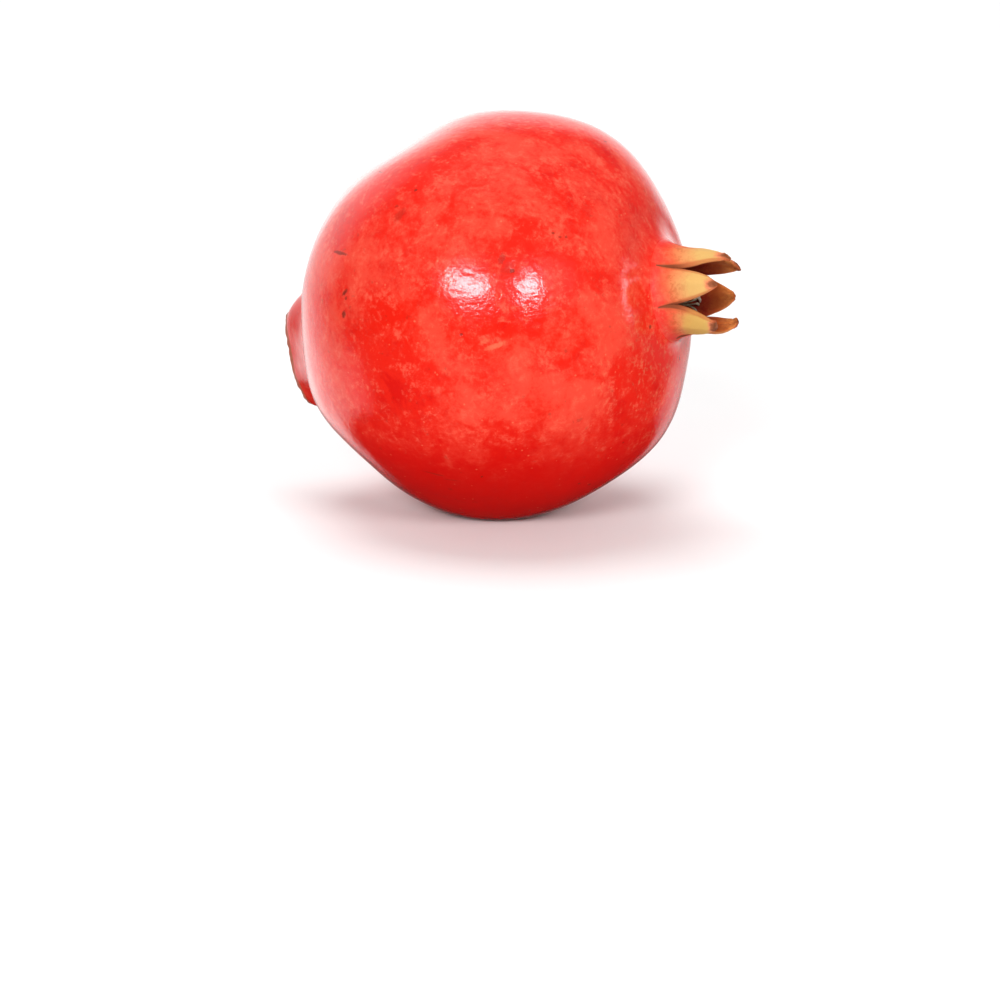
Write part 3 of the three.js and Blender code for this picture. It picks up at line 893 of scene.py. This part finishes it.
# %% [markdown]
# ## The rind's finish
# Ripe rind is a deep red with paler coral clouds where the sun was weaker, tan scurf
# near the crown, pale pin-point flecks, and a waxy gloss that shallow dimples break
# up. Toward the bottom the rind is painted a deeper, even red as painted shade. The
# knob is a duller red, with a brown rim and a corky end. The lobes of the crown are
# the same skin gone dry: orange at the foot, then straw yellow, then brown at the
# withered tip, with a thin brown margin, painted darker in the notches as painted
# shade. Inside they are russet to nearly black, partly their dry colour and partly
# painted shade that deepens toward the cup. A painted picture could hold all this,
# but noise that fills the space round the fruit has no seams, and the stored facts
# say where each colour belongs.

# %% Colours of the rind, as linear red, green and blue, and its gloss
# DEEP_RED is the rind's random deeper tone, and also the painted shade of its underside.
DEEP_RED = (0.56, 0.002, 0.001)
RED = (0.68, 0.012, 0.004)
CORAL = (0.74, 0.065, 0.036)
PALE_CORAL = (0.78, 0.13, 0.075)
TAN = (0.50, 0.17, 0.065)
KNOB_RED = (0.46, 0.018, 0.012)
CORK = (0.40, 0.14, 0.055)
SCAB = (0.15, 0.014, 0.005)
PALE_SCAR = (0.76, 0.24, 0.12)
STRAW = (0.60, 0.36, 0.11)
TAWNY = (0.62, 0.25, 0.085)
TAWNY_BROWN = (0.54, 0.165, 0.035)
STRAW_GREEN = (0.55, 0.35, 0.075)
ORANGE = (0.66, 0.14, 0.05)
SALMON = (0.66, 0.20, 0.09)
UMBER = (0.30, 0.085, 0.032)
RUST = (0.42, 0.075, 0.018)
BROWN = (0.17, 0.042, 0.011)
RUSSET = (0.36, 0.065, 0.009)
MAROON = (0.24, 0.013, 0.001)
# Nearly black: partly the dry cup's own colour, partly painted shade in the cup's depth.
DARK_AND_CUP_SHADE = (0.035, 0.008, 0.003)
GREENER_LOBE = 5
WAX = 0.15
SKIN_IOR = 1.42
PAPER_IOR = 1.4


# %% Skin of the body
def body_colour(look):
    height_mm = look.part(look.place, 2) / mm
    clouds = look.noise(17, 5, 0.6, 0.6) - 0.5
    mottle = look.noise(4.6, 5, 0.68, 0.4) - 0.5
    fine = look.noise(1.15, 4, 0.7, 0.3) - 0.5
    # Painted shade: toward the bottom the rind turns a deeper, even red, with fewer pale clouds and grains.
    painted_underside_shade = (height_mm + 16 * clouds + 14 * mottle + 8 * fine).step(34, 14)
    deep = (look.noise(10, 5, 0.65, 0.5) - 0.5 + 0.5 * fine).step(-0.02, 0.2)
    skin = mixed(look, RED, DEEP_RED, deep * 0.75)
    toward_crown = look.part(look.vector("meridian"), 2).step(0.45, 0.8)
    pale = (clouds + 0.6 * mottle + 0.45 * fine + 0.05 * toward_crown).step(-0.13, 0.17)
    pale = pale * (1 - 0.8 * painted_underside_shade)
    skin = skin.mix(CORAL, pale * 0.72)
    grainy = (mottle + 0.9 * fine).step(0.02, 0.30) * (1 - 0.7 * painted_underside_shade)
    skin = skin.mix(PALE_CORAL, grainy * 0.42)
    return skin.mix(DEEP_RED, painted_underside_shade * 0.85), mottle, fine


# %% Scurf near the crown, dark flecks and pale pores
def aged_colour(look, skin, mottle, fine):
    meridian = look.vector("meridian")
    above, from_stalk = (look.part(meridian, k) for k in (1, 2))
    near_crown = (from_stalk + 0.25 * mottle).step(0.70, 0.88)
    scurf = (0.9 * fine + 0.3 * mottle + 0.6 * (look.noise(0.5, 3, 0.65) - 0.5)).step(0.0, 0.22)
    skin = skin.mix(TAN, scurf * near_crown * (0.08 + 0.26 * above.step(0.1, -0.5)))
    stains = (look.noise(2.4, 4, 0.7) + 0.4 * fine).step(0.64, 0.74)
    skin = skin.mix(SCAB, stains * 0.28)
    flecks = look.cells(1.9).step(0.17, 0.07) * look.noise(3.1, 2).step(0.5, 0.62)
    return skin.mix(PALE_SCAR, flecks * 0.3)


# %% The drawn marks
def mark_mask(look):
    """Where the dark marks and the pale ones are, from each mark's own small frame."""
    mark = look.vector("mark")
    along, beside, shade = (look.part(mark, k) for k in range(3))
    away = (along ** 2 + beside ** 2) ** 0.5
    ragged = away + 1.1 * (look.noise(0.55, 3, 0.6) - 0.5) + 0.5 * (look.noise(1.5, 2) - 0.5)
    inside = ragged.step(1.1, 0.4)
    return inside * shade.step(0.0, 1.0), inside * (-shade).step(0.0, 1.0)


# %% Skin of the crown and of the knob
def crown_colour(look, skin, crown, inside, margin):
    patchy = 0.16 * (look.noise(3.2, 3, 0.6) - 0.5) + 0.12 * (look.noise(1.0, 3, 0.6) - 0.5)
    uneven = crown + patchy
    dried = uneven - 0.10 * margin ** 2
    dry = dried.ramp((0.0, ORANGE), (0.15, ORANGE), (0.34, TAWNY), (0.50, STRAW), (0.73, STRAW),
                     (0.80, SALMON), (0.84, UMBER), (0.92, BROWN), (1.0, UMBER))
    blotches = (look.noise(1.7, 4, 0.7) + 0.3 * (look.noise(0.5, 2) - 0.5)).step(0.46, 0.62)
    dry = dry.mix(RUST, blotches * crown.step(0.68, 0.1) * 0.6)
    greener = look.math("COMPARE", look.fact("lobe"), GREENER_LOBE, 0.6)
    dry = dry.mix(STRAW_GREEN, greener * dried.step(0.25, 0.4) * uneven.step(0.85, 0.7) * 0.7)
    outer = skin.mix(dry, dried.step(-0.04, 0.26))
    edge = (margin + 0.5 * patchy).step(0.80, 0.97) * uneven.step(-0.02, 0.12)
    outer = outer.mix(RUST, edge * 0.6)
    # The lobes' edges low down, which line the notches, are painted near brown: partly the dry margin,
    # partly painted shade in the slits.
    outer = outer.mix(BROWN, margin.step(0.95, 1.0) * crown.step(0.55, 0.2) * 0.9)
    # Inner faces run from russet to nearly black toward the foot: their dry colour with painted shade of the
    # hollow crown laid in.
    deep = uneven.ramp((0.0, DARK_AND_CUP_SHADE), (0.12, MAROON), (0.38, MAROON), (0.62, RUSSET), (0.82, TAWNY_BROWN),
                       (0.94, TAWNY_BROWN), (1.0, BROWN))
    deep = deep.mix(RUSSET, blotches * 0.5)
    # Painted shade: the cup's wall turns nearly black as it goes down.
    inner = deep.mix(DARK_AND_CUP_SHADE, crown.step(0.0, -0.35))
    return outer.mix(inner, inside.step(0.35, 0.75))


def knob_colour(look, skin, knob):
    """Dull red down its side, a thin brown rim, and an end that is corky round the stump."""
    grain = look.streaks(16, 5, 4, 0.5) + 0.6 * (look.noise(0.6, 3, 0.6) - 0.5)
    skin = skin.mix(KNOB_RED, knob.step(0.0, 0.4) * 0.55)
    end = skin.mix(BROWN, grain.step(0.45, 0.7) * knob.step(0.98, 1.1) * 0.6)
    cork = mixed(look, CORK, BROWN, grain.step(0.4, 0.68))
    end = end.mix(cork, (knob + 0.5 * (look.noise(2.2, 3) - 0.5)).step(1.1, 1.5))
    ragged = knob + 0.06 * (look.noise(1.2, 3) - 0.5)
    rim = ragged.step(0.95, 0.99) * ragged.step(1.12, 1.03)
    return end.mix(UMBER, rim * 0.8)


# %% The whole rind
def rind_finish():
    look = Finish("rind")
    crown, inside, margin, knob = (look.fact(n) for n in ("crown", "inside", "margin", "knob"))
    skin, mottle, fine = body_colour(look)
    skin = aged_colour(look, skin, mottle, fine)
    dark, pale = mark_mask(look)
    skin = skin.mix(SCAB, dark * 0.85).mix(PALE_SCAR, pale * 0.7)
    skin = knob_colour(look, skin, knob)
    on_lobe = crown.step(0.02, 0.3)
    colour = crown_colour(look, skin, crown, inside, margin)
    rough = WAX + 0.05 * (look.noise(2.6, 3) - 0.5) + 0.1 * dark + 0.7 * crown.step(-0.3, 0.2) + 0.1 * inside
    rough = rough + 0.3 * knob.step(0.93, 1.0)
    dimples = 0.05 * look.noise(2.6, 1.5, 0.5) + 0.05 * look.noise(1.05, 2.5, 0.55)
    pits = -0.012 * look.cells(1.5).step(0.25, 0.0)
    grain = 0.012 * look.streaks(60, 12, 3, 0.6) + 0.12 * on_lobe * look.noise(0.7, 3, 0.6)
    relief = dimples + pits + grain + 0.05 * (look.noise(0.4, 2) - 1) * dark
    return look.surface(colour, rough, relief, IOR=SKIN_IOR)


fruit.data.materials.append(rind_finish())
print("rind:", len(fruit.data.materials[0].node_tree.nodes), "nodes")

# %% [markdown]
# ## Finishes of the stamens and the stump
# Dry filaments are papery and pale, browner toward the foot, each a shade of its
# own. The stump has grey-brown bark and a paler, fibrous cut. One even colour on
# each would look like plastic, so stored facts and noise vary both.

# %% Stamens and stump
PAPER_GREY = (0.22, 0.19, 0.12)
PAPER_WHITE = (0.50, 0.42, 0.34)
PAPER_FOOT = (0.10, 0.045, 0.02)
PAPER_SPOT = (0.30, 0.24, 0.16)
BARK = (0.10, 0.062, 0.036)
PALE_BARK = (0.24, 0.16, 0.09)
WOOD = (0.36, 0.23, 0.12)
WOOD_RING = (0.22, 0.12, 0.055)
PITH = (0.08, 0.035, 0.015)


def stamen_finish():
    look = Finish("dried stamens")
    reach, tint = look.fact("reach"), look.fact("tint")
    pale = mixed(look, PAPER_GREY, PAPER_WHITE, tint)
    colour = mixed(look, PAPER_FOOT, pale, (reach + 0.3 * (look.noise(1.4) - 0.5)).step(0.4, 0.85))
    colour = colour.mix(PAPER_SPOT, look.noise(0.5, 3).step(0.5, 0.7) * 0.6)
    return look.surface(colour, 1.0, 0.06 * look.noise(0.35, 3, 0.6), IOR=PAPER_IOR)


def stump_finish():
    look = Finish("cut stem")
    cut, ring = look.fact("cut"), look.fact("ring")
    bark = mixed(look, BARK, PALE_BARK, look.noise(0.9, 4, 0.65).step(0.35, 0.65))
    wood = mixed(look, WOOD, WOOD_RING, look.math("SINE", ring * 26 + 4 * look.noise(0.8)))
    wood = wood.mix(PITH, ring.step(0.24, 0.12))
    colour = bark.mix(wood, cut * ring.step(0.95, 0.86))
    return look.surface(colour, 1.0, 0.10 * look.noise(0.5, 4, 0.6), IOR=PAPER_IOR)


stamens.data.materials.append(stamen_finish())
stump.data.materials.append(stump_finish())
for piece in (stamens, stump):
    print(piece.name, "wears", piece.data.materials[0].name)

# %% [markdown]
# ## Camera
# The camera looks slightly down at the fruit's front, from the crown's side, so both
# ends show. It could be aimed by a constraint, but its three directions are soon
# worked out, and the lamps need them too. A long lens keeps the outline true.

# %% Camera
# The lens, and where the fruit's middle stands, are in pixels of a frame 1000 wide.
LOOK_AZIMUTH = 22.5
LOOK_HEIGHT = 12.0
LOOK_FROM = 900 * mm
FOCAL_PX = 3913
FRAME_PX = 1000
FRUIT_PX = (498, 316)
SENSOR = 36


def camera_axes(azimuth, height):
    """Right, up and backward of a camera that looks at the fruit."""
    az, el = math.radians(azimuth), math.radians(height)
    right = Vector((math.cos(az), math.sin(az), 0))
    toward = Vector((math.sin(az) * math.cos(el), -math.cos(az) * math.cos(el), math.sin(el)))
    return right, toward.cross(right), toward


def aim(thing, away, axes):
    """Turns a thing along three axes and stands it away from the fruit's middle."""
    turn = Matrix(axes).transposed().to_4x4()
    thing.matrix_world = Matrix.Translation(Vector(BODY_CENTRE) + away) @ turn


def add_camera():
    camera = bpy.data.cameras.new("camera")
    camera.sensor_width = SENSOR
    camera.lens = SENSOR * FOCAL_PX / FRAME_PX
    camera.clip_start = 0.05
    eye = stand("camera", camera)
    yaw, pitch = (math.degrees(math.atan((FRAME_PX / 2 - v) / FOCAL_PX)) for v in FRUIT_PX)
    back = LOOK_FROM * camera_axes(LOOK_AZIMUTH, LOOK_HEIGHT)[2]
    aim(eye, back, camera_axes(LOOK_AZIMUTH - yaw, LOOK_HEIGHT + pitch))
    bpy.context.scene.camera = eye


add_camera()
print("The camera stands", round(LOOK_FROM / mm), "mm from the fruit's middle")

# %% [markdown]
# ## Lamps
# Glossy rind mirrors the shape of each light, while its colour takes only their
# strength. One lamp can't be both small enough for a crisp patch and large enough
# for soft shading, so there are two kinds. Reflections alone see three soft boxes:
# two in front, which give the twin bright patches, and a weak one at the far right
# for the streak beside the crown. Shading alone sees three larger ones.

# %% Lamps
LAMP_REACH = 3.0
COOL_WHITE = (0.95, 0.93, 1.0)
WHITE = (1.0, 1.0, 1.0)


def add_lamp(name, beside, above, wide, high, radiance, seen_by):
    """A round soft box. Places and widths are in degrees, as seen from the fruit."""
    light = bpy.data.lights.new(name, "AREA")
    light.shape = "ELLIPSE"
    light.color = COOL_WHITE if seen_by == "gloss" else WHITE
    light.size, light.size_y = (2 * LAMP_REACH * math.tan(math.radians(v / 2)) for v in (wide, high))
    light.energy = radiance * math.pi * (math.pi / 4 * light.size * light.size_y)
    lamp = stand(name, light)
    axes = camera_axes(LOOK_AZIMUTH + beside, LOOK_HEIGHT + above)
    aim(lamp, LAMP_REACH * axes[2], axes)
    lamp.visible_camera = False
    lamp.visible_diffuse = seen_by == "shade"
    lamp.visible_glossy = seen_by == "gloss"
    print(name, round(light.energy, 1), "W")


# Degrees beside and above the camera, degrees wide and high, radiance, what sees it.
add_lamp("left_box_gloss", -18.5, 11.7, 25, 8.4, 34, "gloss")
add_lamp("right_box_gloss", 18.3, 12.5, 13.5, 8, 40, "gloss")
add_lamp("far_right_box_gloss", 103, -4.6, 15, 3.2, 9, "gloss")
add_lamp("left_box_shade", -20, 14, 29, 17, 18, "shade")
add_lamp("right_box_shade", 38, 14, 29, 17, 13, "shade")
add_lamp("top_box_shade", 200, 60, 44, 44, 4, "shade")

# %% [markdown]
# ## Floor
# The fruit lies on a plain, pale, matt surface. A square plane would show its far
# edge as a grey band from a low camera. A disc that turns clear toward its edge
# fades into the white backdrop instead.

# %% Floor
PALE = (0.84, 0.84, 0.84)
PALER = (0.86, 0.86, 0.86)


def add_floor(radius=1.3, sides=96):
    """A round floor, which reflections don't see."""
    ring = [(radius * math.cos(k * 2 * math.pi / sides), radius * math.sin(k * 2 * math.pi / sides), 0)
            for k in range(sides)]
    mesh = bpy.data.meshes.new("floor")
    mesh.from_pydata(ring, [], [list(range(sides))])
    floor = stand("floor", mesh)
    floor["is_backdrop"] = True
    floor.visible_glossy = False
    look = Finish("pale floor")
    speckle = mixed(look, PALE, PALER, look.noise(40))
    far = look.add("VectorMath", {"operation": "LENGTH"}, {0: look.place}, out="Value")
    rough = 0.8 + 0.05 * look.noise(30)
    mesh.materials.append(look.surface(speckle, rough, 0.01 * look.noise(3), Alpha=far.step(1.2, 0.6)))
    print("floor:", radius, "m in radius")


add_floor()

# %% [markdown]
# ## Sky
# A white studio stands all round. An even white world would light it, but the rind
# would look washed out, and white at every edge. So the camera alone sees plain
# white, and the fruit a dimmer studio: a backdrop behind it that its upper edge
# mirrors, a glow at its left, and a low white sheet on either side, which brighten
# the edges lower down. Shading gets an evener light than the mirrored one.

# %% Sky
SKY_AIMS = {"behind": (174, 12), "side": (-144, 8), "left": (-125, -12), "right": (143, -24)}
PLAIN_WHITE = 1.05
BACKDROP = 1.2
SIDE_GLOW = 1.05
LEFT_SHEET = 1.35
RIGHT_SHEET = 0.8


def add_sky():
    """Each aim is a direction in degrees, beside the camera's own and above level."""
    world = bpy.data.worlds.new("white studio")
    world.use_nodes = True
    sky = Wire(world.node_tree)
    world.node_tree.nodes.clear()
    way = sky.add("TexCoord", out=0)
    near = {name: sky.add("VectorMath", {"operation": "DOT_PRODUCT"}, {
        0: way, 1: tuple(camera_axes(LOOK_AZIMUTH + beside, above)[2])}, out="Value")
        for name, (beside, above) in SKY_AIMS.items()}
    height = sky.add("SeparateXYZ", {}, {0: way}, out=2)
    lit = (height + 0.45 * near["behind"]).step(-0.2, 0.15)
    left_sheet = near["left"].step(0.72, 0.88) * height.step(-0.60, -0.54) * height.step(-0.08, -0.35)
    right_sheet = near["right"].step(0.93, 0.975) * height.step(-0.54, -0.48) * height.step(0.0, -0.35)
    glow = SIDE_GLOW * near["side"].step(0.74, 0.98) + LEFT_SHEET * left_sheet + 0.02
    shaded = (0.25 + 0.4 * near["behind"].step(0.2, 0.9)) * lit
    mirrored = (0.18 + BACKDROP * near["behind"].step(0.84, 0.97)) * lit + RIGHT_SHEET * right_sheet
    seen, shading = (sky.add("LightPath", out=f"Is {kind} Ray") for kind in ("Camera", "Diffuse"))
    studio = mirrored + shading * (shaded - mirrored) + glow
    strength = studio + seen * (PLAIN_WHITE - studio)
    light = sky.add("Background", {}, {"Color": (1, 1, 1, 1), "Strength": strength})
    output = world.node_tree.nodes.new("ShaderNodeOutputWorld")
    world.node_tree.links.new(light.socket, output.inputs["Surface"])
    bpy.context.scene.world = world
    bpy.context.scene.view_settings.view_transform = "Standard"
    print("sky:", len(world.node_tree.nodes), "nodes")


add_sky()

# %% [markdown]
# ## Sizes
# The finished fruit should fill the same box as the solids that it stands for.

# %% Sizes and the end
SIZES = {"cad": [[float(v) for v in corner] for corner in CAD_BOX],
         "visual": [[float(v) for v in corner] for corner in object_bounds()]}
for name, box in SIZES.items():
    print(name, [[round(v / mm, 1) for v in corner] for corner in box])
